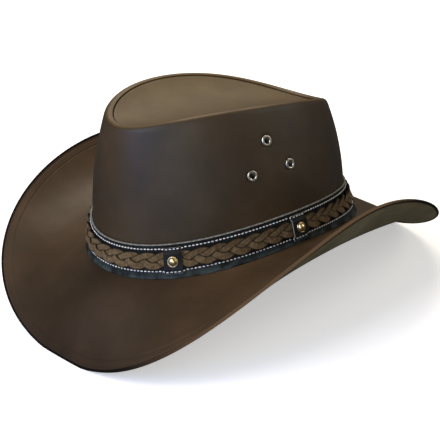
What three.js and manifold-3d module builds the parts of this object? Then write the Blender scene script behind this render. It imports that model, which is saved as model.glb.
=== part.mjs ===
// Bush hat of oiled leather: crown side, dished tip, curled brim and a braided band with rivets.
// Millimetres, +Z up. The front of the hat faces -Y and the wearer's left is +X.
// The origin lies on the surface that the hat rests on, under the middle of the brim.

import * as THREE from 'three';
import { mergeVertices } from 'three/addons/utils/BufferGeometryUtils.js';
import Module from 'manifold-3d';

const wasm = await Module();
wasm.setup();

// Crown
const crownLength = 206;       // outside the leather, where the crown meets the brim
const crownWidth = 171;
const crownHeight = 100;       // mean height of the rolled rim over the brim's seam
const tipLength = 186.5;       // across the rolled rim
const tipWidth = 126;
const tipSetBack = 6.5;        // the tip lies this far behind the middle of the crown
const tipNarrowing = 0.11;     // share by which the rim is narrower at the front and wider behind
const wallBulge = 5;           // swelling of the side at mid-height
const wallLeather = 2;
const rimRoll = 6;             // length of leather turned over at the rim
const rimStand = 1.5;          // the fold of the rim stands this much over its oval
const rimFall = 1.2;           // how far the turned leather dips towards the tip
const tipLeather = 2;
const tipStep = 0.7;           // the tip is sewn in this much below the rolled rim
const tipDish = 9;             // depth of the hollow pressed into the tip

// Brim
const brimWidth = 77;
const brimLeather = 2.4;
const curlPower = 0.9;         // 1 bends the brim evenly, less bends it more near the crown
const settle = 2.2;            // how far the lowest edges give where the hat rests on them
const flatten = 0.15;          // leather this near to the surface under the hat lies flat on it

// Braided band
const strapWidth = 23.4;
const strapLeather = 1.6;
const strapFlare = 5.5;        // how far the bottom of the strap stands out over the brim's seam
const strapHold = 0.7;         // share of the strap, from its top, down to which it lies close to the crown
const strapSwing = 1.5;        // power by which it swings out below that, 1 for a straight flare
const braidWidth = 12.3;
const braidMiddle = 0.513;     // height of the braid's middle as a share of the strap
const braidThickness = 2.8;
const braidEdge = 0.45;        // share of the braid's thickness left at its two sides
const braidPinch = 0.55;       // share of the braid's thickness left under a keeper
const keeperLength = 12.8;     // round the hat
const keeperWidth = 18;        // up the strap
const keeperLeather = 1.2;
const rivetRadius = 3.9;
const rivetRim = 0.4;          // height of the head's side under its dome
const rivetDome = 2;
const rivetPost = 1.1;

// Eyelets
const eyeletRadius = 4.1;
const eyeletHole = 2.1;
const eyeletMetal = 0.5;
const eyeletFlange = 0.9;
const eyeletBevel = 0.3;       // how far the ring's outer edge draws in towards its top

const gap = 0.3;               // clearance between pieces that touch on the real hat

// Steps of the faceted surfaces
const roundSteps = 60;
const wallSteps = 5;
const rollSteps = 3;
const brimSteps = 8;
const tipSteps = 4;
const bandColumns = 54;
const drillSides = 8;
const turnedSides = 10;
const lengthSteps = 720;       // chords used to measure the way round the band
const smallTurn = 0.01;        // angle and share over which a surface's direction is measured

// One row for each direction round half of the hat, from the front (0) to the back (180).
// seam and rim are heights as shares of crownHeight, width is a share of brimWidth, slopes are in
// degrees along the brim at the crown and at its edge, and flare is a share of strapFlare.
const directions = [
  { at: 0, seam: -0.014, rim: 1.033, width: 1.045, rootSlope: -13, edgeSlope: -71.5, flare: 1.0 },
  { at: 30, seam: 0.006, rim: 1.059, width: 1.035, rootSlope: -15.5, edgeSlope: -33, flare: 1.0 },
  { at: 60, seam: 0.050, rim: 1.082, width: 1.010, rootSlope: -17.5, edgeSlope: 35, flare: 0.9 },
  { at: 90, seam: 0.062, rim: 1.040, width: 0.981, rootSlope: -14.5, edgeSlope: 68.5, flare: 0.7 },
  { at: 120, seam: 0.008, rim: 0.938, width: 0.973, rootSlope: -22.5, edgeSlope: 55.5, flare: 1.2 },
  { at: 150, seam: -0.074, rim: 0.809, width: 0.985, rootSlope: -21, edgeSlope: -16, flare: 1.7 },
  { at: 180, seam: -0.112, rim: 0.744, width: 1.000, rootSlope: -14, edgeSlope: -54.5, flare: 1.6 },
];

// Eyelets on each side: place along the crown as a share of its half length, forward negative,
// and height as a share of the side from the seam to the rim.
const eyeletPlaces = [
  { along: -0.083, up: 0.770 },
  { along: 0.055, up: 0.578 },
  { along: -0.262, up: 0.559 },
];

// Keepers as shares of the half way round the strap, from the front by the wearer's left to the
// back. The other half has the same places, from the back by the right to the front.
const keeperPlaces = [0.178, 0.494];

const leather = { color: 0x45392c, roughness: 0.5, metalness: 0 };
const finishes = {
  wall: { ...leather, color: 0x3a332d },
  tip: { ...leather, color: 0x5c4e38 },
  brim: leather,
  strap: { color: 0x22262b, roughness: 0.4, metalness: 0 },
  braid: { color: 0x5a4a38, roughness: 0.85, metalness: 0 },
  rivet: { color: 0xb59a5f, roughness: 0.3, metalness: 1 },
  eyelet: { color: 0x9a958c, roughness: 0.35, metalness: 1 },
};

const radians = THREE.MathUtils.degToRad;
const fullTurn = 2 * Math.PI;

// A column of the table as a sum of smooth waves round the hat. Towards the middle of the tip,
// where reach falls from 1 to 0, each wave dies away as it does in a stretched skin.
function roundTheHat(column) {
  const last = directions.length - 1;
  const waves = directions.map((_, k) => {
    const sum = directions.reduce((total, row, i) => {
      const share = i === 0 || i === last ? 0.5 : 1;
      return total + share * row[column] * Math.cos(k * radians(row.at));
    }, 0);
    return sum * (k === 0 || k === last ? 1 : 2) / last;
  });
  return (angle, reach = 1) =>
    waves.reduce((total, wave, k) => total + wave * reach ** k * Math.cos(k * angle), 0);
}

const seamShare = roundTheHat('seam');
const rimShare = roundTheHat('rim');
const widthShare = roundTheHat('width');
const rootSlope = roundTheHat('rootSlope');
const edgeSlope = roundTheHat('edgeSlope');
const flareShare = roundTheHat('flare');

const seamHeight = angle => crownHeight * seamShare(angle);

// The crown's oval at the brim, and the level direction that points straight out of it
function crownBase(angle) {
  const x = crownWidth / 2 * Math.sin(angle);
  return new THREE.Vector3(x, -crownLength / 2 * Math.cos(angle), seamHeight(angle));
}

function outward(angle) {
  const x = crownLength * Math.sin(angle);
  return new THREE.Vector3(x, -crownWidth * Math.cos(angle), 0).normalize();
}

const outBy = (point, angle, out, rise = 0) =>
  point.clone().addScaledVector(outward(angle), out).add(new THREE.Vector3(0, 0, rise));

// The rim's oval, or a smaller oval inside it for the tip
function rimPoint(angle, reach = 1, inset = 0) {
  const narrowing = 1 - tipNarrowing * reach * Math.cos(angle);
  const x = (tipWidth / 2 * narrowing - inset) * reach * Math.sin(angle);
  const y = tipSetBack - (tipLength / 2 - inset) * reach * Math.cos(angle);
  return new THREE.Vector3(x, y, crownHeight * rimShare(angle, reach));
}

// A point on the outside of the crown's side; up runs from 0 at the seam to 1 at the rim
function wallPoint(angle, up) {
  const point = crownBase(angle).lerp(rimPoint(angle), up);
  return outBy(point, angle, wallBulge * 4 * up * (1 - up));
}

function wallNormal(angle, up) {
  const across = wallPoint(angle + smallTurn, up).sub(wallPoint(angle - smallTurn, up));
  const upward = wallPoint(angle, up + smallTurn).sub(wallPoint(angle, up - smallTurn));
  return across.cross(upward).normalize();
}

// Half of the brim's leather seen straight down, which a steeper slope makes thicker
const halfBrim = angle => brimLeather / 2 / Math.cos(radians(rootSlope(angle)));

// The middle of the brim's leather in one direction: level distance out from the crown, and rise
function brimSection(angle) {
  const start = radians(rootSlope(angle));
  const turn = radians(edgeSlope(angle)) - start;
  const step = brimWidth * widthShare(angle) / brimSteps;
  const section = [
    { share: 0, out: -wallLeather, rise: -wallLeather * Math.tan(start), slope: start },
    { share: 0, out: 0, rise: 0, slope: start },
  ];
  for (let i = 1; i <= brimSteps; i += 1) {
    const before = section[i];
    const middle = start + turn * ((i - 0.5) / brimSteps) ** curlPower;
    section.push({
      share: i / brimSteps,
      out: before.out + step * Math.cos(middle),
      rise: before.rise + step * Math.sin(middle),
      slope: start + turn * (i / brimSteps) ** curlPower,
    });
  }
  return section;
}

const edgeHeight = angle => seamHeight(angle) + brimSection(angle).at(-1).rise;

const evenAngles = Array.from({ length: roundSteps }, (_, i) => fullTurn * i / roundSteps);
const ground = Math.min(...evenAngles.map(edgeHeight)) + settle;

// How far the surface under the hat lifts the edge, so that its cut side lies flat there
function edgeLift(angle) {
  const slope = radians(edgeSlope(angle));
  const target = ground - brimLeather / 2 * Math.cos(slope);
  const short = target - edgeHeight(angle);
  return (short + Math.hypot(short, settle / 5)) / 2;
}

// Height of the brim's upper side over its seam, a small distance out from the crown
function brimTop(angle, out) {
  const section = brimSection(angle);
  const next = section.findIndex(point => point.out > out);
  const [near, far] = [section[next - 1], section[next]];
  const share = (out - near.out) / (far.out - near.out);
  return near.rise + (far.rise - near.rise) * share + halfBrim(angle);
}

// A point on the band: up runs from 0 at the strap's foot to 1 at its top, over is the distance
// out from the strap's inner side. The strap's foot swings out and clears the brim.
function bandPoint(angle, up, over) {
  const tall = crownHeight * (rimShare(angle) - seamShare(angle));
  const free = Math.max(0, 1 - up / strapHold);
  const out = gap + strapFlare * flareShare(angle) * free ** strapSwing + over;
  const wall = wallPoint(angle, strapWidth * up / tall);
  return outBy(wall, angle, out, (brimTop(angle, out) + gap) * free);
}

// Builds a closed solid from an outer and an inner sheet of points, sheet[column][row], seen from
// outside with the columns running leftwards round the hat. A round sheet closes on itself.
function sheetSolid(outer, inner, round = true) {
  const rows = outer[0].length;
  const columns = outer.length;
  const points = [...outer.flat(), ...inner.flat()];
  const innerStart = rows * columns;
  const index = [];
  const quad = (a, b, c, d) => index.push(a, b, c, a, c, d);
  const on = (column, row) => (column % columns) * rows + row;
  const spans = round ? columns : columns - 1;
  for (let i = 0; i < spans; i += 1) {
    for (let j = 0; j < rows - 1; j += 1) {
      const corners = [on(i, j), on(i + 1, j), on(i + 1, j + 1), on(i, j + 1)];
      quad(...corners);
      quad(...corners.map(corner => corner + innerStart).reverse());
    }
    const [low, lowNext] = [on(i, 0), on(i + 1, 0)];
    const [high, highNext] = [on(i, rows - 1), on(i + 1, rows - 1)];
    quad(low, low + innerStart, lowNext + innerStart, lowNext);
    quad(highNext, highNext + innerStart, high + innerStart, high);
  }
  for (let j = 0; !round && j < rows - 1; j += 1) {
    const [first, above] = [on(0, j), on(0, j + 1)];
    const [last, lastAbove] = [on(columns - 1, j), on(columns - 1, j + 1)];
    quad(first, above, above + innerStart, first + innerStart);
    quad(last, last + innerStart, lastAbove + innerStart, lastAbove);
  }
  return weld(points, index);
}

// Merges points that meet, as at the middle of the tip, and leaves out triangles without area
function weld(points, index) {
  const loose = new THREE.BufferGeometry().setFromPoints(points);
  loose.setIndex(index);
  const merged = mergeVertices(loose, 1e-4);
  const corners = merged.index.array;
  const kept = [];
  for (let i = 0; i < corners.length; i += 3) {
    const [a, b, c] = corners.slice(i, i + 3);
    if (a !== b && b !== c && c !== a) kept.push(a, b, c);
  }
  merged.setIndex(kept);
  merged.computeVertexNormals();
  return merged;
}

// Moves each point of a sheet along the sheet's own normal
function offsetSheet(sheet, distance, round = true) {
  const columns = sheet.length;
  const rows = sheet[0].length;
  const column = i => round ? (i + columns) % columns : Math.min(Math.max(i, 0), columns - 1);
  return sheet.map((points, i) => points.map((point, j) => {
    const across = sheet[column(i + 1)][j].clone().sub(sheet[column(i - 1)][j]);
    const above = points[Math.min(j + 1, rows - 1)];
    const along = above.clone().sub(points[Math.max(j - 1, 0)]);
    return point.clone().addScaledVector(across.cross(along).normalize(), distance);
  }));
}

function toManifold(geometry) {
  const bare = geometry.clone();
  bare.deleteAttribute('normal');
  bare.deleteAttribute('uv');
  const closed = mergeVertices(bare, 1e-4);
  return new wasm.Manifold(new wasm.Mesh({
    numProp: 3,
    vertProperties: new Float32Array(closed.attributes.position.array),
    triVerts: new Uint32Array(closed.index.array),
  }));
}

// Cuts round holes; each place has a point, a direction and a radius
function drill(geometry, places, depth) {
  const up = new THREE.Vector3(0, 1, 0);
  const cut = places.reduce((solid, { point, direction, radius }) => {
    const bit = new THREE.CylinderGeometry(radius, radius, depth, drillSides);
    bit.applyQuaternion(new THREE.Quaternion().setFromUnitVectors(up, direction));
    bit.translate(point.x, point.y, point.z);
    return solid.subtract(toManifold(bit));
  }, toManifold(geometry));
  const { vertProperties, triVerts } = cut.getMesh();
  const drilled = new THREE.BufferGeometry();
  drilled.setAttribute('position', new THREE.BufferAttribute(vertProperties, 3));
  drilled.setIndex([...triVerts]);
  drilled.computeVertexNormals();
  return drilled;
}

// Crown side: up the outside, over the rolled rim, and back down inside the leather
function wallSheet() {
  return evenAngles.map(angle => {
    const rim = rimPoint(angle);
    const reachable = rim.distanceTo(crownBase(angle));
    const top = 1 - rimRoll / reachable;
    const points = [];
    for (let j = 0; j <= wallSteps; j += 1) points.push(wallPoint(angle, top * j / wallSteps));
    const start = points.at(-1);
    const end = outBy(rim, angle, -rimRoll, -rimFall);
    const roll = new THREE.QuadraticBezierCurve3(start, outBy(rim, angle, 0, rimStand), end);
    for (let j = 1; j <= rollSteps; j += 1) points.push(roll.getPoint(j / rollSteps));
    points[0].z += halfBrim(angle) + gap;
    return points;
  });
}

function crownSide() {
  const outer = wallSheet();
  const inner = offsetSheet(outer, -wallLeather);
  inner.forEach((points, i) => {
    const angle = evenAngles[i];
    const foot = outBy(outer[i][0], angle, -wallLeather);
    foot.z += wallLeather * Math.tan(-radians(rootSlope(angle)));
    points[0].copy(foot);
  });
  return drill(sheetSolid(outer, inner), eyeletSeats.map(seat => ({
    point: seat.point.clone().addScaledVector(seat.direction, -wallLeather / 2),
    direction: seat.direction,
    radius: eyeletHole + eyeletMetal + gap,
  })), wallLeather * 3);
}

// Tip: a dished panel sewn in just inside the rolled rim
function tipPoint(angle, reach) {
  const inset = rimRoll + gap;
  const point = rimPoint(angle, reach, inset);
  point.z -= rimFall + tipStep + tipDish * (1 - reach ** 2);
  return point;
}

function crownTip() {
  const outer = evenAngles.map(angle => {
    const points = [];
    for (let j = tipSteps; j >= 0; j -= 1) points.push(tipPoint(angle, j / tipSteps));
    return points;
  });
  const inner = outer.map(points => points.map(point => {
    return point.clone().sub(new THREE.Vector3(0, 0, tipLeather));
  }));
  return sheetSolid(outer, inner);
}

// Brim: upper side from the edge in to the crown, with the lowest edges resting flat
function brim() {
  const side = half => evenAngles.map(angle => {
    const base = crownBase(angle);
    const lift = edgeLift(angle);
    return brimSection(angle).map(({ share, out, rise, slope }) => {
      const over = half * brimLeather / 2;
      const up = rise + lift * share ** 2;
      const point = outBy(base, angle, out - over * Math.sin(slope), up + over * Math.cos(slope));
      if (point.z < ground + flatten) point.z = ground;
      return point;
    }).reverse();
  });
  return sheetSolid(side(1), side(-1));
}

// Directions of the keepers, from their places along the strap
function keeperAngles() {
  const around = [0];
  for (let i = 0; i < lengthSteps; i += 1) {
    const [from, to] = [i, i + 1].map(step => bandPoint(fullTurn * step / lengthSteps, 0.5, 0));
    around.push(around[i] + from.distanceTo(to));
  }
  return [...keeperPlaces, ...keeperPlaces.map(place => place + 1)].map(place => {
    const step = around.findIndex(length => length >= around[lengthSteps] * place / 2);
    return fullTurn * step / lengthSteps;
  });
}

// Half of a keeper's length as an angle where it sits
function keeperHalfAngle(angle) {
  const ends = [-smallTurn, smallTurn].map(turn => bandPoint(angle + turn, 0.5, 0));
  return keeperLength * smallTurn / ends[0].distanceTo(ends[1]);
}

const keepers = keeperAngles();

// Angles for the band's pieces: keeper edges and middles, and even steps in the bays between
function bandAngles() {
  return keepers.flatMap((angle, i) => {
    const next = i + 1 < keepers.length ? keepers[i + 1] : keepers[0] + fullTurn;
    const from = angle + keeperHalfAngle(angle);
    const to = next - keeperHalfAngle(next);
    const spans = Math.ceil(bandColumns * (to - from) / fullTurn);
    const bay = Array.from({ length: spans + 1 }, (_, k) => from + (to - from) * k / spans);
    return [angle, ...bay];
  });
}

const across = share => braidMiddle + share * braidWidth / strapWidth / 2;
const braidSides = [-1, -0.5, 0.5, 1];
const strapSides = [0, ...braidSides.slice(0, 3).map(across), 1];

function bandSheet(angles, ups, over) {
  return angles.map(angle => ups.map(up => bandPoint(angle, up, over(angle, up))));
}

function bandStrap() {
  const angles = bandAngles();
  const solid = sheetSolid(
    bandSheet(angles, strapSides, () => strapLeather),
    bandSheet(angles, strapSides, () => 0),
  );
  return drill(solid, rivetHoles(), rivetBit);
}

const braidInside = strapLeather + gap;

// The braid is pressed thinner under each keeper and swells to full thickness between them
function braidDepth(angle) {
  const nearest = Math.min(...keepers.map(place => {
    const turn = Math.abs(angle - place) % fullTurn;
    return Math.min(turn, fullTurn - turn) / keeperHalfAngle(place);
  }));
  const free = THREE.MathUtils.smoothstep(nearest, 1, 2);
  return braidThickness * (braidPinch + (1 - braidPinch) * free);
}

function braid() {
  const angles = bandAngles();
  const ups = braidSides.map(across);
  const swell = up => {
    const share = (up - braidMiddle) / (across(1) - braidMiddle);
    return 1 - (1 - braidEdge) * share ** 4;
  };
  const outer = (angle, up) => braidInside + braidDepth(angle) * swell(up);
  const solid = sheetSolid(
    bandSheet(angles, ups, outer),
    bandSheet(angles, ups, () => braidInside),
  );
  return drill(solid, rivetHoles(), rivetBit);
}

// Keeper: a patch that bridges the braid and comes down to the strap above and below it. It is
// flat under the rivet's head, and steps down just inside and outside the braid's edge.
const keeperInside = braidInside + braidThickness * braidPinch + gap;
const keeperStep = [0.9, 1.08];
const headSeat = (rivetRadius + gap) / (braidWidth / 2);

function keeper(angle) {
  const half = keeperHalfAngle(angle);
  const angles = [angle - half, angle, angle + half];
  const side = [headSeat, ...keeperStep, keeperWidth / braidWidth];
  const ups = [...side.map(share => -share).reverse(), ...side].map(across);
  const lowered = up => Math.abs(up - braidMiddle) > (across(1) - braidMiddle);
  const inside = (_, up) => lowered(up) ? braidInside : keeperInside;
  const solid = sheetSolid(
    bandSheet(angles, ups, (place, up) => inside(place, up) + keeperLeather),
    bandSheet(angles, ups, inside),
    false,
  );
  return drill(solid, rivetHoles([angle]), rivetBit);
}

// Rivet: a domed head on the keeper, and a post down through keeper, braid and strap
const headInside = keeperInside + keeperLeather + gap;
const postLength = headInside - gap / 2;
const rivetBit = 3 * postLength;

function headPlace(angle) {
  const [low, high] = [-headSeat, headSeat].map(share => bandPoint(angle, across(share), headInside));
  const [from, to] = [-smallTurn, smallTurn].map(turn => bandPoint(angle + turn, braidMiddle, headInside));
  const direction = to.sub(from).cross(high.clone().sub(low)).normalize();
  return { point: low.lerp(high, 0.5), direction };
}

const rivetHoles = (places = keepers) =>
  places.map(angle => ({ ...headPlace(angle), radius: rivetPost + gap }));

// A turned shape from pairs of radius and height, standing along +Z
function turned(profile, sides) {
  const points = profile.map(([radius, height]) => new THREE.Vector2(radius, height));
  const lathe = new THREE.LatheGeometry(points, sides);
  lathe.rotateX(Math.PI / 2);
  lathe.deleteAttribute('normal');
  lathe.deleteAttribute('uv');
  return weld(pointsOf(lathe), [...lathe.index.array]);
}

function pointsOf(geometry) {
  const position = geometry.attributes.position;
  return Array.from({ length: position.count }, (_, i) => {
    return new THREE.Vector3().fromBufferAttribute(position, i);
  });
}

function rivet() {
  const dome = [0, 0.4, 0.75].map(share => {
    const turn = share * Math.PI / 2;
    return [rivetRadius * Math.cos(turn), rivetRim + rivetDome * Math.sin(turn)];
  });
  const profile = [
    [0, -postLength],
    [rivetPost, -postLength],
    [rivetPost, 0],
    [rivetRadius, 0],
    ...dome,
    [0, rivetRim + rivetDome],
  ];
  return turned(profile, turnedSides);
}

// Eyelet: a rolled ring outside, a barrel through the side and a flat ring inside
function eyelet() {
  const barrel = eyeletHole + eyeletMetal;
  const inside = -wallLeather - gap;
  const profile = [
    [eyeletHole, inside - eyeletMetal],
    [eyeletRadius - eyeletMetal, inside - eyeletMetal],
    [eyeletRadius - eyeletMetal, inside],
    [barrel, inside],
    [barrel, gap],
    [eyeletRadius, gap],
    [eyeletRadius - eyeletBevel, gap + eyeletFlange * 0.7],
    [(eyeletHole + eyeletRadius) / 2, gap + eyeletFlange],
    [eyeletHole, gap + eyeletFlange * 0.4],
    [eyeletHole, inside - eyeletMetal],
  ];
  return turned(profile, turnedSides);
}

// The direction round the hat at which the side reaches a given place along the crown
function angleAlong(along, up) {
  const target = along * crownLength / 2;
  let [low, high] = [0, Math.PI];
  for (let i = 0; i < 40; i += 1) {
    const middle = (low + high) / 2;
    if (wallPoint(middle, up).y < target) low = middle;
    else high = middle;
  }
  return low;
}

function seatsOfEyelets() {
  return [1, -1].flatMap(side => eyeletPlaces.map(({ along, up }, i) => {
    const angle = side * angleAlong(along, up);
    const name = `eyelet_${side > 0 ? 'left' : 'right'}_${i + 1}`;
    return { name, point: wallPoint(angle, up), direction: wallNormal(angle, up) };
  }));
}

const eyeletSeats = seatsOfEyelets();

const hat = new THREE.Group();

function addPiece(name, geometry, finish) {
  const mesh = new THREE.Mesh(geometry, new THREE.MeshStandardMaterial(finish));
  mesh.name = name;
  hat.add(mesh);
  return mesh;
}

// Stands a turned piece on its seat, with its axis along the seat's direction
function seatPiece(mesh, { point, direction }) {
  mesh.position.copy(point);
  mesh.quaternion.setFromUnitVectors(new THREE.Vector3(0, 0, 1), direction);
}

const brimMesh = addPiece('brim', brim(), finishes.brim);
addPiece('crown_side', crownSide(), finishes.wall);
addPiece('crown_tip', crownTip(), finishes.tip);
addPiece('band_strap', bandStrap(), finishes.strap);
addPiece('braid', braid(), finishes.braid);
keepers.forEach((angle, i) => {
  addPiece(`keeper_${i + 1}`, keeper(angle), finishes.strap);
  seatPiece(addPiece(`rivet_${i + 1}`, rivet(), finishes.rivet), headPlace(angle));
});
eyeletSeats.forEach(seat => {
  seatPiece(addPiece(seat.name, eyelet(), finishes.eyelet), seat);
});

// The brim is the widest piece, so the origin is under its middle
brimMesh.geometry.computeBoundingBox();
const middle = brimMesh.geometry.boundingBox.getCenter(new THREE.Vector3());
hat.position.set(-middle.x, -middle.y, -ground);

const part = new THREE.Group();
part.add(hat);
export default part;
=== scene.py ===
"""Bush hat of oiled leather: the finish of every surface, the braid, the stitches and the light."""
import math
from collections import namedtuple
from functools import lru_cache

import bmesh
import bpy
from mathutils import Matrix, Vector


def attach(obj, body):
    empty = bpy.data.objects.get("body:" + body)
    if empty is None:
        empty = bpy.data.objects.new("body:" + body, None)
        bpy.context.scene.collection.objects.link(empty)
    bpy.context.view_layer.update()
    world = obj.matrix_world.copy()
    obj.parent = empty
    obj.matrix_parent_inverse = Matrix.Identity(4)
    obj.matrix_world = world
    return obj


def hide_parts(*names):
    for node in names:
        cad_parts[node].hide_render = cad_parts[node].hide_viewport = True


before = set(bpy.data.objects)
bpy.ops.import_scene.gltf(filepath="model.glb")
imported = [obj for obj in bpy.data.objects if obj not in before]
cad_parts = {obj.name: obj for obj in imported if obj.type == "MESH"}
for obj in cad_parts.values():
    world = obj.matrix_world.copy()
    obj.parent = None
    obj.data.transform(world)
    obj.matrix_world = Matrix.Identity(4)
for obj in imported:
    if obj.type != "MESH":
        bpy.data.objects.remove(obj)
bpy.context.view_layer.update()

mm = 0.001
full_turn = 2 * math.pi

# Crown
crown_length = 206 * mm
crown_width = 171 * mm
crown_height = 100 * mm
tip_length = 186.5 * mm
tip_width = 126 * mm
tip_set_back = 6.5 * mm
tip_narrowing = 0.11
wall_bulge = 5 * mm
wall_leather = 2 * mm
rim_roll = 6 * mm
rim_stand = 1.5 * mm
rim_fall = 1.2 * mm
tip_leather = 2 * mm
tip_step = 0.7 * mm
tip_dish = 9 * mm

# Brim
brim_width = 77 * mm
brim_leather = 2.4 * mm
brim_steps = 8
curl_power = 0.9
settle = 2.2 * mm
flatten = 0.15 * mm

# Braided band
strap_width = 23.4 * mm
strap_leather = 1.6 * mm
strap_flare = 5.5 * mm
strap_hold = 0.7
strap_swing = 1.5
braid_width = 12.3 * mm
braid_middle = 0.513
braid_thickness = 2.8 * mm
braid_pinch = 0.55
keeper_length = 12.8 * mm
keeper_width = 18 * mm
keeper_leather = 1.2 * mm
keeper_places = (0.178, 0.494)
rivet_radius = 3.9 * mm
rivet_dome = 2.4 * mm
rivet_post = 1.1 * mm

# Eyelets
eyelet_radius = 4.1 * mm
eyelet_hole = 2.1 * mm
eyelet_metal = 0.5 * mm
eyelet_flange = 0.9 * mm

gap = 0.3 * mm

# Where the middle of the seam between crown and brim stands in the frame
hat_place = Vector((0, -2.864, 52.664)) * mm

# Fine work on the leather
edge_round = 0.5 * mm
# Width of the strip along the brim's cut edge that carries painted shade, on both sides
painted_edge_strip = 2 * mm
hem_lines = (3.2 * mm, 8.4 * mm)
hem_line_width = 1.4 * mm
hem_line_depth = 0.35 * mm
roll_from = 0.89
rim_crest = 0.935
wall_length = 115 * mm
foot_fade = 12
tip_edge_from = 0.93
tip_groove_width = 1.8 * mm
tip_groove_depth = 0.9 * mm
lace_width = 5.1 * mm
lace_thickness = 1 * mm
lace_rise = 0.95 * mm
lace_middle = 0.54
lace_turns = 16
lace_roundness = (0.5, 0.7)
keeper_climb_from = 0.86
keeper_climb = 0.26
keeper_edge = 0.25 * mm
rivet_bead = 0.35 * mm
stitch_pitch = 2.75 * mm
stitch_length = 2 * mm
stitch_width = 1 * mm
stitch_rows = (0.195, 0.86)
stitch_line_width = 1.6 * mm
stitch_line_depth = 0.3 * mm
stitch_climb_from = 0.9
stitch_climb = 0.35

# Fineness of the meshes
brim_columns, brim_rows, hem_rows, underside_rows = 420, 42, 34, 30
crown_columns, wall_rows, roll_rows = 400, 44, 12
tip_columns, tip_rows, tip_edge_rows, tip_back_rows = 320, 50, 16, 30
band_columns, strap_rows, lace_points = 480, 28, 20
keeper_columns, keeper_rows = 10, 44
turned_sides, arc_steps = 36, 14
weld_distance = 0.005 * mm

Direction = namedtuple("Direction", "at seam rim width root_slope edge_slope flare")
directions = (
    Direction(0, -0.014, 1.033, 1.045, -13, -71.5, 1.0),
    Direction(30, 0.006, 1.059, 1.035, -15.5, -33, 1.0),
    Direction(60, 0.050, 1.082, 1.010, -17.5, 35, 0.9),
    Direction(90, 0.062, 1.040, 0.981, -14.5, 68.5, 0.7),
    Direction(120, 0.008, 0.938, 0.973, -22.5, 55.5, 1.2),
    Direction(150, -0.074, 0.809, 0.985, -21, -16, 1.7),
    Direction(180, -0.112, 0.744, 1.000, -14, -54.5, 1.6),
)
EyeletPlace = namedtuple("EyeletPlace", "along up")
eyelet_places = (
    EyeletPlace(-0.083, 0.770),
    EyeletPlace(0.055, 0.578),
    EyeletPlace(-0.262, 0.559),
)


# Form of the hat

def round_the_hat(column):
    """A column of the table as a sum of smooth waves, which die away towards the middle of the tip."""
    last = len(directions) - 1
    waves = []
    for k in range(last + 1):
        total = 0
        for i, row in enumerate(directions):
            share = 0.5 if i in (0, last) else 1
            total += share * getattr(row, column) * math.cos(k * math.radians(row.at))
        waves.append(total * (1 if k in (0, last) else 2) / last)

    @lru_cache(maxsize=None)
    def value(angle, reach=1.0):
        return sum(wave * reach ** k * math.cos(k * angle) for k, wave in enumerate(waves))
    return value


seam_share = round_the_hat("seam")
rim_share = round_the_hat("rim")
width_share = round_the_hat("width")
root_slope = round_the_hat("root_slope")
edge_slope = round_the_hat("edge_slope")
flare_share = round_the_hat("flare")


def crown_base(angle):
    x = crown_width / 2 * math.sin(angle)
    return Vector((x, -crown_length / 2 * math.cos(angle), crown_height * seam_share(angle)))


def out_by(point, angle, out, rise=0.0):
    across, along = crown_length * math.sin(angle), -crown_width * math.cos(angle)
    share = out / math.hypot(across, along)
    return point + Vector((across * share, along * share, rise))


def rim_point(angle, reach=1.0, inset=0.0):
    narrowing = 1 - tip_narrowing * reach * math.cos(angle)
    x = (tip_width / 2 * narrowing - inset) * reach * math.sin(angle)
    y = tip_set_back - (tip_length / 2 - inset) * reach * math.cos(angle)
    return Vector((x, y, crown_height * rim_share(angle, reach)))


def wall_point(angle, up):
    point = crown_base(angle).lerp(rim_point(angle), up)
    return out_by(point, angle, wall_bulge * 4 * up * (1 - up))


def normal_of(surface, angle, share, step=0.005):
    """Outward direction of a surface that takes a direction round the hat and a share of its height."""
    across = surface(angle + step, share) - surface(angle - step, share)
    upward = surface(angle, min(share + step, 1)) - surface(angle, max(share - step, 0))
    return across.cross(upward).normalized()


def brim_slope(angle, share):
    start = math.radians(root_slope(angle))
    return start + (math.radians(edge_slope(angle)) - start) * share ** curl_power


@lru_cache(maxsize=None)
def brim_section(angle):
    """The middle of the brim's leather in one direction, as pairs of way out and rise."""
    step = brim_width * width_share(angle) / brim_steps
    section = [(0.0, 0.0)]
    for i in range(brim_steps):
        slope = brim_slope(angle, (i + 0.5) / brim_steps)
        out, rise = section[i]
        section.append((out + step * math.cos(slope), rise + step * math.sin(slope)))
    return section


def brim_middle(angle, share):
    """Way out and rise of the middle of the brim's leather, at a share of its width."""
    section = brim_section(angle)
    i = min(int(share * brim_steps), brim_steps - 1)
    part = share * brim_steps - i
    step = brim_width * width_share(angle) / brim_steps
    near, far = brim_slope(angle, i / brim_steps), brim_slope(angle, (i + 1) / brim_steps)
    from_near = step * (part ** 3 - 2 * part ** 2 + part)
    from_far = step * (part ** 3 - part ** 2)
    passed = 3 * part ** 2 - 2 * part ** 3
    out = section[i][0] * (1 - passed) + section[i + 1][0] * passed
    rise = section[i][1] * (1 - passed) + section[i + 1][1] * passed
    out += from_near * math.cos(near) + from_far * math.cos(far)
    rise += from_near * math.sin(near) + from_far * math.sin(far)
    return out, rise


def edge_height(angle):
    return crown_height * seam_share(angle) + brim_section(angle)[-1][1]


ground = min(edge_height(math.radians(degree)) for degree in range(0, 360, 6)) + settle


@lru_cache(maxsize=None)
def edge_lift(angle):
    """How far the surface under the hat lifts the edge of the brim."""
    target = ground - brim_leather / 2 * math.cos(math.radians(edge_slope(angle)))
    short = target - edge_height(angle)
    return (short + math.hypot(short, settle / 5)) / 2


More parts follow.
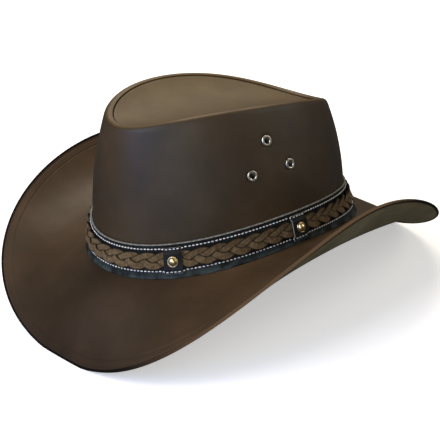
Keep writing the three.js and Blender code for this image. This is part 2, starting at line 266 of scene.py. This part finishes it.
def brim_point(angle, share, over):
    """A point of the brim, at a share of its width and a distance over the middle of its leather."""
    if share < 0:
        slope = math.radians(root_slope(angle))
        out, rise = share * brim_width * math.cos(slope), share * brim_width * math.sin(slope)
    else:
        slope = brim_slope(angle, share)
        out, rise = brim_middle(angle, share)
        rise += edge_lift(angle) * share ** 2
    out -= over * math.sin(slope)
    rise += over * math.cos(slope)
    point = out_by(crown_base(angle), angle, out, rise)
    if point.z < ground + flatten:
        point.z = ground
    return point


def half_brim(angle):
    return brim_leather / 2 / math.cos(math.radians(root_slope(angle)))


def brim_top(angle, out):
    """Height of the brim's upper side over its seam, a small distance out from the crown."""
    slope = math.radians(root_slope(angle))
    share = out / (brim_width * width_share(angle) * math.cos(slope))
    return brim_middle(angle, share)[1] + half_brim(angle)


def wall_sheet(angle, share):
    """The crown's side from its foot to the lip of its rolled rim."""
    rim = rim_point(angle)
    top = 1 - rim_roll / (rim - crown_base(angle)).length
    if share <= roll_from:
        part = share / roll_from
        point = wall_point(angle, top * part)
        point.z += (half_brim(angle) + gap) * (1 - part) ** foot_fade
        return point
    part = (share - roll_from) / (1 - roll_from)
    start = wall_point(angle, top)
    middle = out_by(rim, angle, 0, rim_stand)
    end = out_by(rim, angle, -rim_roll, -rim_fall)
    return start * (1 - part) ** 2 + middle * 2 * part * (1 - part) + end * part ** 2


def tip_sheet(angle, reach):
    point = rim_point(angle, reach, rim_roll + gap)
    point.z -= rim_fall + tip_step + tip_dish * (1 - reach ** 2)
    return point


def band_point(angle, up, over):
    """A point on the band: up from its foot to its top, over the strap's inner side."""
    tall = crown_height * (rim_share(angle) - seam_share(angle))
    free = max(0.0, 1 - up / strap_hold)
    out = gap + strap_flare * flare_share(angle) * free ** strap_swing + over
    point = out_by(wall_point(angle, strap_width * up / tall), angle, out)
    if free:
        point.z += (brim_top(angle, out) + gap) * free
    return point


def across(share):
    return braid_middle + share * braid_width / strap_width / 2


# Lengths along the band

fine = 720
around = [0.0]
for i in range(fine):
    near, far = (band_point(full_turn * at / fine, 0.5, 0) for at in (i, i + 1))
    around.append(around[i] + (far - near).length)
band_length = around[fine]


@lru_cache(maxsize=None)
def angle_at(length):
    """The direction round the hat where the band has a given length behind it, from the front."""
    turns, rest = divmod(length, band_length)
    low, high = 0, fine
    while high - low > 1:
        middle = (low + high) // 2
        if around[middle] <= rest:
            low = middle
        else:
            high = middle
    part = (rest - around[low]) / (around[high] - around[low])
    return full_turn * (turns + (low + part) / fine)


keeper_lengths = [band_length * (turn + place) / 2 for turn in (0, 1) for place in keeper_places]


def from_keeper(length):
    """Distance from the nearest keeper's middle, in halves of a keeper."""
    nearest = min(
        abs((length - at + band_length / 2) % band_length - band_length / 2)
        for at in keeper_lengths
    )
    return nearest / (keeper_length / 2)


def smooth(value):
    value = min(max(value, 0), 1)
    return value * value * (3 - 2 * value)


def braid_depth(length):
    """Share of the braid's full thickness, which is less under each keeper."""
    return braid_pinch + (1 - braid_pinch) * smooth(from_keeper(length) - 1)


braid_inside = strap_leather + gap
keeper_inside = braid_inside + braid_thickness * braid_pinch + gap


def on_band(length, up, over):
    return band_point(angle_at(length), up, over)


def seat(point, along, out):
    """A matrix that stands a piece on a point, with X along one direction and Z out along another."""
    turn = Matrix((along, out.cross(along), out)).transposed().to_4x4()
    return Matrix.Translation(point) @ turn


def band_seat(length, up, over):
    """A seat on the band, with X along it."""
    step = 1 * mm
    along = (on_band(length + step, up, over) - on_band(length - step, up, over)).normalized()
    rise = on_band(length, up + 0.02, over) - on_band(length, up - 0.02, over)
    return seat(on_band(length, up, over), along, along.cross(rise).normalized())


def head_seat(length):
    """The seat of a rivet's head, across the middle of a keeper."""
    share = (rivet_radius + gap) / (braid_width / 2)
    over = keeper_inside + keeper_leather
    low, high = (on_band(length, across(side), over) for side in (-share, share))
    step = 1 * mm
    along = on_band(length + step, braid_middle, over) - on_band(length - step, braid_middle, over)
    along.normalize()
    return seat((low + high) / 2, along, along.cross(high - low).normalized())


def eyelet_seats(halvings=40):
    """Name and seat of each eyelet, on the outside of the crown."""
    for name, side in (("left", 1), ("right", -1)):
        for number, place in enumerate(eyelet_places, 1):
            low, high = 0.0, math.pi
            for _ in range(halvings):
                middle = (low + high) / 2
                if wall_point(middle, place.up).y < place.along * crown_length / 2:
                    low = middle
                else:
                    high = middle
            angle = side * low
            out = normal_of(wall_point, angle, place.up)
            turn = out.to_track_quat("Z", "Y").to_matrix().to_4x4()
            yield f"eyelet_{name}_{number}", Matrix.Translation(wall_point(angle, place.up)) @ turn


# Making pieces

Row = namedtuple("Row", "share over finish")
FACE, EDGE, BACK, BACK_EDGE = range(4)


def edge_rows(leather, length, radius=edge_round, steps=4):
    """Rows round a cut edge at share 1 of a strip, from its face to its back."""
    half = leather / 2
    corner = []
    for i in range(steps + 1):
        turn = math.pi / 2 * i / steps
        back, down = radius * (1 - math.sin(turn)), radius * (1 - math.cos(turn))
        corner.append((1 - back / length, half - down))
    rows = [Row(share, over, EDGE) for share, over in corner]
    rows += [Row(share, -over, EDGE) for share, over in reversed(corner)]
    rows[-1] = rows[-1]._replace(finish=BACK)
    return rows


def leather_rows(face, leather, length):
    """Rows of a leather strip's closed section: its face, one edge, its back and the other edge."""
    half = leather / 2
    far_edge = edge_rows(leather, length)
    near_edge = [Row(1 - row.share, -row.over, EDGE) for row in far_edge]
    near_edge[-1] = near_edge[-1]._replace(finish=FACE)
    rows = [Row(share, half, FACE) for share in face] + far_edge
    rows += [Row(share, -half, BACK) for share in reversed(face)] + near_edge
    return rows


def even(count, low=0.0, high=1.0):
    """Shares spread evenly between low and high, without the two ends."""
    return [low + (high - low) * i / (count + 1) for i in range(1, count + 1)]


def shaped_grid(bm, columns, rows, place, closed=True):
    """Adds a grid whose points go to place(column share, row), and welds it where it meets itself."""
    strips = len(rows) if closed else len(rows) - 1
    made = bmesh.ops.create_grid(bm, x_segments=columns, y_segments=strips, size=0.5)["verts"]
    rows = rows + rows[:1]
    layer = bm.loops.layers.uv.verify()
    for face in {face for vert in made for face in vert.link_faces}:
        for loop in face.loops:
            corner = loop.vert.co
            loop[layer].uv = (corner.x + 0.5, rows[round((corner.y + 0.5) * strips)].share)
        face.material_index = rows[int((face.calc_center_median().y + 0.5) * strips)].finish
    for vert in made:
        column = round((vert.co.x + 0.5) * columns)
        vert.co = place(column / columns, rows[round((vert.co.y + 0.5) * strips)])
    bmesh.ops.remove_doubles(bm, verts=made, dist=weld_distance)


def round_grid(bm, columns, rows, place, closed=True):
    """A shaped grid that runs round the hat; place takes an angle and a row."""
    shaped_grid(bm, columns, rows, lambda share, row: place(full_turn * (share % 1), row), closed)


def finished(bm, name, finishes, replaced=()):
    """Makes the object from a mesh that was built round the middle of the crown's seam."""
    bmesh.ops.recalc_face_normals(bm, faces=bm.faces)
    bmesh.ops.translate(bm, vec=hat_place, verts=bm.verts)
    mesh = bpy.data.meshes.new(name)
    bm.to_mesh(mesh)
    bm.free()
    mesh.shade_smooth()
    for finish in finishes:
        mesh.materials.append(finish)
    piece = bpy.data.objects.new(name, mesh)
    bpy.context.collection.objects.link(piece)
    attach(piece, "root")
    if replaced:
        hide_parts(*replaced)
    return piece


def groove(distance, width, depth):
    """Depth of a rounded pressed line at a distance from its middle."""
    share = abs(distance) / (width / 2)
    return -depth * (math.cos(share * math.pi) + 1) / 2 if share < 1 else 0.0


# Materials

def linear(colour):
    """A hex colour as linear light."""
    shares = [int(colour[i:i + 2], 16) / 255 for i in (1, 3, 5)]
    light = [s / 12.92 if s <= 0.04045 else ((s + 0.055) / 1.055) ** 2.4 for s in shares]
    return (*light, 1.0)


def add_node(tree, kind, settings=None, links=None):
    """Adds a node, sets its fields and sockets, and links its inputs."""
    node = tree.nodes.new(kind)
    for name, value in (settings or {}).items():
        if isinstance(name, int) or name in node.inputs:
            node.inputs[name].default_value = value
        else:
            setattr(node, name, value)
    for name, source in (links or {}).items():
        tree.links.new(source, node.inputs[name])
    return node


def nodes_of(material):
    """A material's node tree and its main shader."""
    return material.node_tree, material.node_tree.nodes["Principled BSDF"]


def start_material(name, colour, roughness, metallic=0.0, specular=0.5):
    material = bpy.data.materials.new(name)
    material.use_nodes = True
    material.diffuse_color = linear(colour)
    tree, shader = nodes_of(material)
    shader.inputs["Base Color"].default_value = linear(colour)
    shader.inputs["Roughness"].default_value = roughness
    shader.inputs["Metallic"].default_value = metallic
    shader.inputs["Specular IOR Level"].default_value = specular
    return material, tree, shader


def object_place(tree):
    """Coordinates in metres, from the frame's origin."""
    return add_node(tree, "ShaderNodeTexCoord").outputs["Object"]


def along_axis(tree, coordinates, axis):
    return add_node(tree, "ShaderNodeSeparateXYZ", links={"Vector": coordinates}).outputs[axis]


def uv_place(tree, axis):
    """X runs once round the hat, and Y over the leather's width."""
    return along_axis(tree, add_node(tree, "ShaderNodeTexCoord").outputs["UV"], axis)


def ramp(tree, factor, *stops):
    """Colours over a factor; each stop is a place from 0 to 1 and a hex colour."""
    node = add_node(tree, "ShaderNodeValToRGB", links={"Fac": factor})
    while len(node.color_ramp.elements) < len(stops):
        node.color_ramp.elements.new(0.5)
    for element, (place, colour) in zip(node.color_ramp.elements, stops):
        element.position = place
        element.color = linear(colour)
    return node.outputs["Color"]


def span(tree, factor, low, high, into_low, into_high):
    """Carries a factor's values between low and high over to another range."""
    node = add_node(tree, "ShaderNodeMapRange", {
        "From Min": low, "From Max": high, "To Min": into_low, "To Max": into_high,
    }, {"Value": factor})
    return node.outputs["Result"]


def noise(tree, coordinates, size, detail=3.0, roughness=0.5):
    """Noise whose blots are about a real size across."""
    node = add_node(tree, "ShaderNodeTexNoise", {
        "Scale": 1 / size, "Detail": detail, "Roughness": roughness,
    }, {"Vector": coordinates})
    return node.outputs["Fac"]


def add_bump(tree, shader, height, distance, strength=1.0):
    bump = add_node(tree, "ShaderNodeBump", {"Strength": strength, "Distance": distance},
                    {"Height": height})
    tree.links.new(bump.outputs["Normal"], shader.inputs["Normal"])


def oiled_leather(name, deep, middle, worn, shine, specular=0.25, sheen="#ffffff"):
    """Oiled pull-up leather: waxy sheen, cloudy brown that pales where it was handled, fine pores."""
    material, tree, shader = start_material(name, middle, shine, specular=specular)
    shader.inputs["Specular Tint"].default_value = linear(sheen)
    coordinates = object_place(tree)
    clouds = noise(tree, coordinates, 45 * mm, 4.0, 0.55)
    colour = ramp(tree, clouds, (0.3, deep), (0.5, middle), (0.72, worn))
    roughness = span(tree, clouds, 0.3, 0.7, shine + 0.05, shine - 0.04)
    tree.links.new(colour, shader.inputs["Base Color"])
    tree.links.new(roughness, shader.inputs["Roughness"])
    pores = add_node(tree, "ShaderNodeTexVoronoi", {"Scale": 1 / (0.9 * mm)}, {"Vector": coordinates})
    creases = noise(tree, coordinates, 3.5 * mm, 5.0, 0.6)
    height = add_node(tree, "ShaderNodeMath", {"operation": "MULTIPLY_ADD", 1: 0.5},
                      {0: pores.outputs["Distance"], 2: creases})
    add_bump(tree, shader, height.outputs["Value"], 0.12 * mm, 0.6)
    return material


def scale_colour(tree, shader, factor):
    """Multiplies the colour that a shader has already by a factor or a tint."""
    colour = shader.inputs["Base Color"].links[0].from_socket
    scaled = add_node(tree, "ShaderNodeVectorMath", {"operation": "MULTIPLY"},
                      {0: colour, 1: factor})
    tree.links.new(scaled.outputs["Vector"], shader.inputs["Base Color"])


def brim_leather_top():
    """Oiled leather, with painted light that makes it paler where the left side curls up, and painted
    shade that makes it darkest at the front.
    """
    material = oiled_leather("oiled_brim_leather", "#3d2e1b", "#473622", "#533f2b", 0.5)
    tree, shader = nodes_of(material)
    # Shares of the colour round the brim: painted shade at the front, painted light along the curls
    front, front_side, left_curl, left_back = "#a8a8a8", "#d6d6d6", "#ffffff", "#f0f0f0"
    back, right_curl = "#cccccc", "#f0f0f0"
    painted_light = ramp(tree, uv_place(tree, "X"), (0.0, front), (0.08, front_side), (0.17, left_curl),
                  (0.32, left_back), (0.5, back), (0.77, right_curl), (0.92, front_side), (0.99, front))
    scale_colour(tree, shader, painted_light)
    return material


def tip_leather_top():
    """Oiled leather, paler than the rest as painted light on the top that faces the light, and browner
    from its crease to the left as painted shade on the slope that turns away.
    """
    material = oiled_leather("oiled_tip_leather", "#47381d", "#4f3f21", "#5b4928", 0.5)
    tree, shader = nodes_of(material)
    # Painted shade: the tip is browner and darker on the left of its crease, where it turns away from
    # the light
    near_slope_shade = span(tree, along_axis(tree, object_place(tree), "X"), -20 * mm, 5 * mm, 0, 1)
    scale_colour(tree, shader, ramp(tree, near_slope_shade, (0, "#ffffff"), (1, "#e7dccb")))
    return material


# The colour sockets of a Mix node, which share their names with others
first_colour, second_colour, mixed_colour = 6, 7, 2


def black_strap_leather():
    """Dyed black strap leather: smooth, faintly grained, with a painted blue-grey sheen in patches at
    its foot.
    """
    material, tree, shader = start_material("black_strap_leather", "#181b1c", 0.5, specular=0.1)
    coordinates = object_place(tree)
    clouds = noise(tree, coordinates, 12 * mm)
    # Painted sheen: blue-grey patches at the strap's foot stand in for glints of light
    sheen_patches = span(tree, noise(tree, coordinates, 9 * mm, 2.0), 0.4, 0.62, 0, 1)
    foot = span(tree, uv_place(tree, "Y"), 0.03, 0.2, 1, 0)
    painted_light = add_node(tree, "ShaderNodeMath", {"operation": "MULTIPLY"}, {0: sheen_patches, 1: foot})
    mixed = add_node(tree, "ShaderNodeMix", {
        "data_type": "RGBA", second_colour: linear("#3a4444"),
    }, {
        "Factor": painted_light.outputs["Value"],
        first_colour: ramp(tree, clouds, (0.3, "#121414"), (0.7, "#202322")),
    })
    tree.links.new(mixed.outputs[mixed_colour], shader.inputs["Base Color"])
    add_bump(tree, shader, noise(tree, coordinates, 0.8 * mm, 2.0), 0.08 * mm, 0.5)
    return material


def start_edge(name, colour):
    """A matt material with the fibrous relief of a cut edge, and the fibres' pattern."""
    material, tree, shader = start_material(name, colour, 0.75, specular=0.08)
    fibres = noise(tree, object_place(tree), 1.5 * mm)
    add_bump(tree, shader, fibres, 0.1 * mm, 0.5)
    return material, fibres


def cut_edge(name, dark, pale):
    """The fibrous cut edge of leather in a dark and a pale colour: left pale, or near black as painted
    shade.
    """
    material, fibres = start_edge(name, dark)
    tree, shader = nodes_of(material)
    tree.links.new(ramp(tree, fibres, (0.35, dark), (0.65, pale)), shader.inputs["Base Color"])
    return material


def brim_edge_painted_light_and_shade():
    """The brim's cut edge: near black as painted shade, and brown as painted light along the lit curl
    on the left side.
    """
    black, brown = "#120d08", "#584531"
    material, _ = start_edge("brim_edge_painted_light_and_shade", black)
    tree, shader = nodes_of(material)
    # Painted shade in black, and painted light in brown along the lit curl on the left side
    colour = ramp(tree, uv_place(tree, "X"), (0.07, black), (0.14, brown), (0.29, brown), (0.33, black))
    tree.links.new(colour, shader.inputs["Base Color"])
    return material


def suede_lace():
    """Suede lace: matt brown nap, paler along its middle, with painted shade that darkens its two edges
    where the laces meet.
    """
    material, tree, shader = start_material("suede_lace", "#4f4029", 0.9, specular=0.15)
    coordinates = object_place(tree)
    nap = noise(tree, coordinates, 2.5 * mm, 5.0, 0.65)
    brown = ramp(tree, nap, (0.3, "#423524"), (0.5, "#5b4b35"), (0.72, "#726043"))
    tree.links.new(brown, shader.inputs["Base Color"])
    # Painted shade: the lace darkens towards its edges, in the gaps between the laces
    scale_colour(tree, shader, span(tree, uv_place(tree, "Y"), 0.6, 0.98, 1, 0.08))
    add_bump(tree, shader, noise(tree, coordinates, 0.6 * mm, 3.0), 0.15 * mm, 0.7)
    return material


def waxed_thread():
    """White waxed sewing thread: smooth and slightly shiny, its twist shown as faint slanting bands."""
    material, tree, shader = start_material("waxed_thread", "#d9d8d6", 0.45)
    coordinates = object_place(tree)
    twist = add_node(tree, "ShaderNodeTexWave", {
        "Scale": 1 / (5 * mm), "bands_direction": "DIAGONAL",
    }, {"Vector": coordinates})
    tree.links.new(ramp(tree, twist.outputs["Fac"], (0.0, "#c9c8c6"), (1.0, "#e6e5e2")),
                   shader.inputs["Base Color"])
    return material


def worn_metal(name, bright, dull, roughness):
    """Plated metal with a soft polish, duller in blotches."""
    material, tree, shader = start_material(name, bright, roughness, 1.0)
    coordinates = object_place(tree)
    blotches = noise(tree, coordinates, 1.6 * mm, 3.0)
    blurred = span(tree, blotches, 0.3, 0.7, roughness + 0.12, roughness)
    tree.links.new(ramp(tree, blotches, (0.35, dull), (0.6, bright)), shader.inputs["Base Color"])
    tree.links.new(blurred, shader.inputs["Roughness"])
    return material


brim_top_leather = brim_leather_top()
# Matt, greenish brown, and hardly shiny
brim_under_leather = oiled_leather("brim_underside", "#393526", "#423e2d", "#4f4a39", 0.65, 0.04)
# Dark brown with a cool, waxy sheen
wall_finish = oiled_leather(
    "oiled_crown_leather", "#342718", "#3b2d1c", "#443525", 0.48, 0.33, sheen="#bceaff",
)
tip_finish = tip_leather_top()
strap_finish = black_strap_leather()
brim_edge_leather = brim_edge_painted_light_and_shade()
# Painted shade: a near-black strip under the brim's edge, where it turns away from the light
shaded_edge_leather = cut_edge("shaded_cut_edge", "#0e0b07", "#17120c")
pale_edge = cut_edge("pale_cut_edge", "#5f5e57", "#8a8a81")
lace_finish = suede_lace()
thread = waxed_thread()
brass = worn_metal("pale_brass", "#ecdab0", "#b89c66", 0.28)
nickel = worn_metal("aged_nickel", "#dedad0", "#a39e94", 0.32)


# Brim

def brim():
    """The brim, with the lines of its hem pressed into both sides and a strip along its cut edge
    painted near black as shade, and brown as painted light along the left curl.
    """
    lines_from = 1 - (hem_lines[1] + 2 * mm) / brim_width
    painted_edge_from = 1 - painted_edge_strip / brim_width
    round_share = edge_round / brim_width
    inside = -wall_leather / brim_width
    half = brim_leather / 2
    lined = even(hem_rows, lines_from, painted_edge_from) + [painted_edge_from]
    face = [inside, 0] + even(brim_rows, 0, lines_from) + lined
    underside = [inside, 0] + even(underside_rows, 0, lines_from) + lined[::2]
    rows = [Row(share, half, FACE) for share in face]
    rows[-1] = rows[-1]._replace(finish=EDGE)
    rows += [Row(1 - 2 * round_share, half, EDGE)] + edge_rows(brim_leather, brim_width)
    rows[-1] = rows[-1]._replace(finish=BACK_EDGE)
    rows += [Row(share, -half, BACK) for share in reversed(underside)]

    def place(angle, row):
        over = row.over
        from_edge = (1 - row.share) * brim_width * width_share(angle)
        if abs(over) == half:
            pressed = [groove(from_edge - line, hem_line_width, hem_line_depth) for line in hem_lines]
            over += math.copysign(sum(pressed), sum(pressed) * over)
        return brim_point(angle, row.share, over)

    bm = bmesh.new()
    round_grid(bm, brim_columns, rows, place)
    finishes = [brim_top_leather, brim_edge_leather, brim_under_leather, shaded_edge_leather]
    finished(bm, "brim_with_hem", finishes, ["brim"])


# Crown

def open_eyelet_hole(bm, eyelet_seat):
    """Opens a round hole through the side where an eyelet sits."""
    radius = eyelet_hole + eyelet_metal + gap
    to_seat = eyelet_seat.inverted()
    inside = []
    for vert in bm.verts:
        place = to_seat @ vert.co
        if abs(place.z) < 3 * wall_leather and math.hypot(place.x, place.y) < radius:
            inside.append(vert)
    cut = {face for vert in inside for face in vert.link_faces}
    border = [edge for edge in bm.edges if len(cut.intersection(edge.link_faces)) == 1]
    bmesh.ops.delete(bm, geom=inside, context="VERTS")
    for vert in {vert for edge in border for vert in edge.verts}:
        place = to_seat @ vert.co
        share = radius / math.hypot(place.x, place.y)
        vert.co = eyelet_seat @ Vector((place.x * share, place.y * share, place.z))
    bmesh.ops.bridge_loops(bm, edges=border)


def crown_side():
    """The upright side, whose rolled rim takes the paler tip leather from its crest inwards, as painted
    light where it faces up.
    """
    face = even(wall_rows, 0, roll_from) + even(roll_rows, roll_from, 1)
    # Painted light: from its crest in, the roll takes the tip's paler leather
    rows = [
        row._replace(finish=EDGE if row.finish == FACE and row.share > rim_crest else row.finish)
        for row in leather_rows(face, wall_leather, wall_length)
    ]

    def place(angle, row):
        out = normal_of(wall_sheet, angle, row.share)
        return wall_sheet(angle, row.share) + out * (row.over - wall_leather / 2)

    bm = bmesh.new()
    round_grid(bm, crown_columns, rows, place)
    for _, eyelet_seat in eyelet_seats():
        open_eyelet_hole(bm, eyelet_seat)
    finishes = [wall_finish, tip_finish, wall_finish]
    finished(bm, "crown_side_leather", finishes, ["crown_side"])


def crown_tip():
    """The dished top panel, with the groove of its seam pressed in just inside the rim."""
    reach_length = tip_length / 2
    face = [0] + even(tip_rows, 0, tip_edge_from)
    face += even(tip_edge_rows, tip_edge_from, 1 - edge_round / reach_length)
    rows = [Row(share, tip_leather / 2, FACE) for share in face]
    rows += edge_rows(tip_leather, reach_length)
    rows += [Row(share, -tip_leather / 2, BACK) for share in reversed([0] + even(tip_back_rows))]

    def place(angle, row):
        point = tip_sheet(angle, row.share)
        point.z += row.over - tip_leather / 2
        if row.finish == FACE:
            from_edge = (1 - row.share) * (tip_width / 2)
            point.z += groove(from_edge, tip_groove_width, tip_groove_depth)
        return point

    bm = bmesh.new()
    round_grid(bm, tip_columns, rows, place, closed=False)
    finished(bm, "crown_tip_leather", [tip_finish] * 3, ["crown_tip"])


# Braided band

def band_strap():
    """The strap, whose cut edge is left pale at the top and dyed at the foot."""
    rows = [
        row._replace(finish=FACE if row.finish == EDGE and row.share < 0.5 else row.finish)
        for row in leather_rows(even(strap_rows), strap_leather, strap_width)
    ]

    def place(angle, row):
        over = row.over + strap_leather / 2
        if row.over > 0:
            for line in stitch_rows:
                over += groove((row.share - line) * strap_width, stitch_line_width, stitch_line_depth)
        return band_point(angle, row.share, over)

    bm = bmesh.new()
    round_grid(bm, band_columns, rows, place)
    finishes = [strap_finish, pale_edge, strap_finish]
    finished(bm, "band_strap_leather", finishes, ["band_strap"])


def lace_section():
    """Rows round a lace's soft-cornered section, with shares of half its width and thickness."""
    for i in range(lace_points):
        turn = full_turn * i / lace_points
        place = tuple(
            math.copysign(abs(share) ** roundness, share)
            for share, roundness in zip((math.cos(turn), math.sin(turn)), lace_roundness)
        )
        yield Row(abs(place[0]), place, FACE)


def lace(number):
    """One of three laces, which goes over its neighbour on the way out and under it on the way back."""
    swing = (braid_width - lace_width) / 2
    pace = full_turn * lace_turns / band_length
    section = list(lace_section())

    def place(share, row):
        length = band_length * (share % 1)
        phase = pace * length + full_turn * number / 3
        slope = swing * pace * math.cos(phase)
        side, top = row.over
        offset = lace_width / 2 * side / math.hypot(1, slope)
        here = length - offset * slope
        over = braid_thickness / 2 + lace_rise * math.sin(2 * phase) + lace_thickness / 2 * top
        up = lace_middle + (swing * math.sin(phase) + offset) / strap_width
        return on_band(here, up, braid_inside + over * braid_depth(here))

    bm = bmesh.new()
    shaped_grid(bm, band_columns, section, place)
    replaced = ["braid"] if number == 0 else []
    finished(bm, f"braid_lace_{number + 1}", [lace_finish], replaced)


def keeper(number, length):
    """A leather patch over the braid, sewn down above and below it."""
    end = keeper_width / braid_width

    def place(share, row):
        side = 2 * row.share - 1
        climb = 1 - smooth((abs(side) * end - keeper_climb_from) / keeper_climb)
        over = braid_inside + (keeper_inside - braid_inside) * climb + keeper_leather
        return on_band(length + (share - 0.5) * keeper_length, across(side * end), over)

    rows = [Row(i / keeper_rows, 0, FACE) for i in range(keeper_rows + 1)]
    bm = bmesh.new()
    shaped_grid(bm, keeper_columns, rows, place, closed=False)
    name = f"keeper_{number}"
    piece = finished(bm, name + "_leather", [strap_finish, pale_edge], [name])
    wall = piece.modifiers.new("Leather", "SOLIDIFY")
    wall.thickness = keeper_leather
    wall.offset = -1
    wall.material_offset_rim = 1
    soften = piece.modifiers.new("Edge", "BEVEL")
    soften.width = keeper_edge
    soften.segments = 2
    soften.limit_method = "ANGLE"


def turned(profile, stand):
    """A turned shape from pairs of radius and height, standing on a seat."""
    bm = bmesh.new()
    verts = [bm.verts.new((radius, 0, height)) for radius, height in profile]
    edges = [bm.edges.new(pair) for pair in zip(verts, verts[1:])]
    bmesh.ops.spin(
        bm, geom=verts + edges, cent=(0, 0, 0), axis=(0, 0, 1), angle=full_turn,
        steps=turned_sides, use_merge=True, use_duplicate=False,
    )
    bmesh.ops.remove_doubles(bm, verts=bm.verts, dist=weld_distance)
    bmesh.ops.transform(bm, matrix=stand, verts=bm.verts)
    return bm


def arc(middle, radii, start, stop, steps=arc_steps):
    """Pairs of radius and height on part of an ellipse, between two angles in degrees."""
    for i in range(steps + 1):
        turn = math.radians(start + (stop - start) * i / steps)
        yield middle[0] + radii[0] * math.cos(turn), middle[1] + radii[1] * math.sin(turn)


def rivet(number, length):
    """A domed head with a bead round its foot, on a post through keeper, braid and strap."""
    foot = gap / 2 - keeper_inside - keeper_leather
    bead = rivet_bead
    profile = [(0, foot), (rivet_post, foot), (rivet_post, 0), (rivet_radius - bead, 0)]
    profile += arc((rivet_radius - bead, bead), (bead, bead), -90, 120, 8)
    profile += arc((0, bead), (rivet_radius - 2 * bead, rivet_dome), 0, 90)
    bm = turned(profile, head_seat(length))
    finished(bm, f"rivet_{number}_metal", [brass], [f"rivet_{number}"])


def eyelet(name, stand):
    """A rolled flange outside the leather, a barrel through it and a flat flange inside."""
    barrel = eyelet_hole + eyelet_metal
    inside = -wall_leather - gap
    ring = (eyelet_radius - eyelet_hole) / 2
    profile = [
        (eyelet_hole, inside - eyelet_metal),
        (eyelet_radius - eyelet_metal, inside - eyelet_metal),
        (eyelet_radius - eyelet_metal, inside),
        (barrel, inside),
        (barrel, gap),
    ]
    profile += arc((eyelet_hole + ring, gap), (ring, eyelet_flange), 0, 180)
    profile += [profile[0]]
    bm = turned(profile, stand)
    finished(bm, name + "_metal", [nickel], [name])


def stitches(name, line):
    """A row of waxed stitches round the strap, which climbs over each keeper's end."""
    count = round(band_length / stitch_pitch)
    size = Matrix.Diagonal((stitch_length / 2, stitch_width / 2, stitch_width / 2, 1))
    lying = size @ Matrix.Rotation(math.pi / 2, 4, "Y")
    bm = bmesh.new()
    for i in range(count):
        length = band_length * i / count
        on_keeper = 1 - smooth((from_keeper(length) - stitch_climb_from) / stitch_climb)
        over = strap_leather - stitch_line_depth / 2 + (keeper_leather + gap) * on_keeper
        bmesh.ops.create_uvsphere(
            bm, u_segments=8, v_segments=6, radius=1, matrix=band_seat(length, line, over) @ lying,
        )
    finished(bm, name, [thread])


brim()
crown_side()
crown_tip()
band_strap()
for number in range(3):
    lace(number)
for number, length in enumerate(keeper_lengths, 1):
    keeper(number, length)
    rivet(number, length)
for name, stand in eyelet_seats():
    eyelet(name, stand)
for name, line in zip(("lower_stitches", "upper_stitches"), stitch_rows):
    stitches(name, line)


# Camera, floor and light

camera_azimuth = math.radians(50.92)
camera_elevation = math.radians(23.89)
camera_roll = math.radians(-5.46)
camera_place = Vector((0.71465, -0.58362, 0.45942))
camera_lens = 106.32
camera_sensor = 36

floor_reach = 6
floor_glow = 0.45
light_size = 0.8
light_distance = 1.4
light_aim = Vector((0, 0, 60 * mm))
world_light = 0.08


def camera():
    """A camera at the photograph's angle, from its azimuth off the front, elevation and roll."""
    sin_a, cos_a = math.sin(camera_azimuth), math.cos(camera_azimuth)
    sin_e, cos_e = math.sin(camera_elevation), math.cos(camera_elevation)
    level = Vector((cos_a, sin_a, 0))
    rising = Vector((-sin_a * sin_e, cos_a * sin_e, cos_e))
    back = Vector((sin_a * cos_e, -cos_a * cos_e, sin_e))
    right = level * math.cos(camera_roll) + rising * math.sin(camera_roll)
    up = rising * math.cos(camera_roll) - level * math.sin(camera_roll)
    data = bpy.data.cameras.new("camera")
    data.sensor_width = camera_sensor
    data.lens = camera_lens
    made = bpy.data.objects.new("camera", data)
    turn = Matrix((right, up, back)).transposed().to_4x4()
    made.matrix_world = Matrix.Translation(camera_place) @ turn
    bpy.context.collection.objects.link(made)
    bpy.context.scene.camera = made


def floor():
    """A plain pale floor, whose faint glow keeps the shadow pale and which no leather mirrors."""
    bm = bmesh.new()
    bmesh.ops.create_grid(bm, x_segments=1, y_segments=1, size=floor_reach)
    mesh = bpy.data.meshes.new("floor")
    bm.to_mesh(mesh)
    bm.free()
    material, _, shader = start_material("pale_floor", "#f4f4f4", 0.9, specular=0.0)
    shader.inputs["Emission Color"].default_value = linear("#ffffff")
    shader.inputs["Emission Strength"].default_value = floor_glow
    mesh.materials.append(material)
    piece = bpy.data.objects.new("floor", mesh)
    bpy.context.collection.objects.link(piece)
    piece.visible_glossy = False


def soft_light(name, azimuth, elevation, power, colour="#ffffff"):
    """A square studio light that faces the hat; azimuth 0 is in front of it and 90 on its left."""
    data = bpy.data.lights.new(name, "AREA")
    data.size = light_size
    data.energy = power
    data.color = linear(colour)[:3]
    made = bpy.data.objects.new(name, data)
    turn, rise = math.radians(azimuth), math.radians(elevation)
    level = math.cos(rise)
    away = Vector((math.sin(turn) * level, -math.cos(turn) * level, math.sin(rise)))
    place = Matrix.Translation(away * light_distance + light_aim)
    made.matrix_world = place @ away.to_track_quat("Z", "Y").to_matrix().to_4x4()
    bpy.context.collection.objects.link(made)


camera()
floor()
soft_light("front_light", 0, 50, 12, "#fff4e8")
soft_light("low_front_light", 0, 25, 8, "#80b0ff")
soft_light("near_light", 45, 25, 4.5)
soft_light("left_light", 140, 30, 4.5, "#fff6ea")
soft_light("back_light", 225, 50, 12.5, "#fff2dd")
world = bpy.data.worlds.new("studio")
world.use_nodes = True
background = world.node_tree.nodes["Background"]
background.inputs["Color"].default_value = linear("#ffffff")
background.inputs["Strength"].default_value = world_light
bpy.context.scene.world = world
bpy.context.scene.view_settings.view_transform = "Standard"
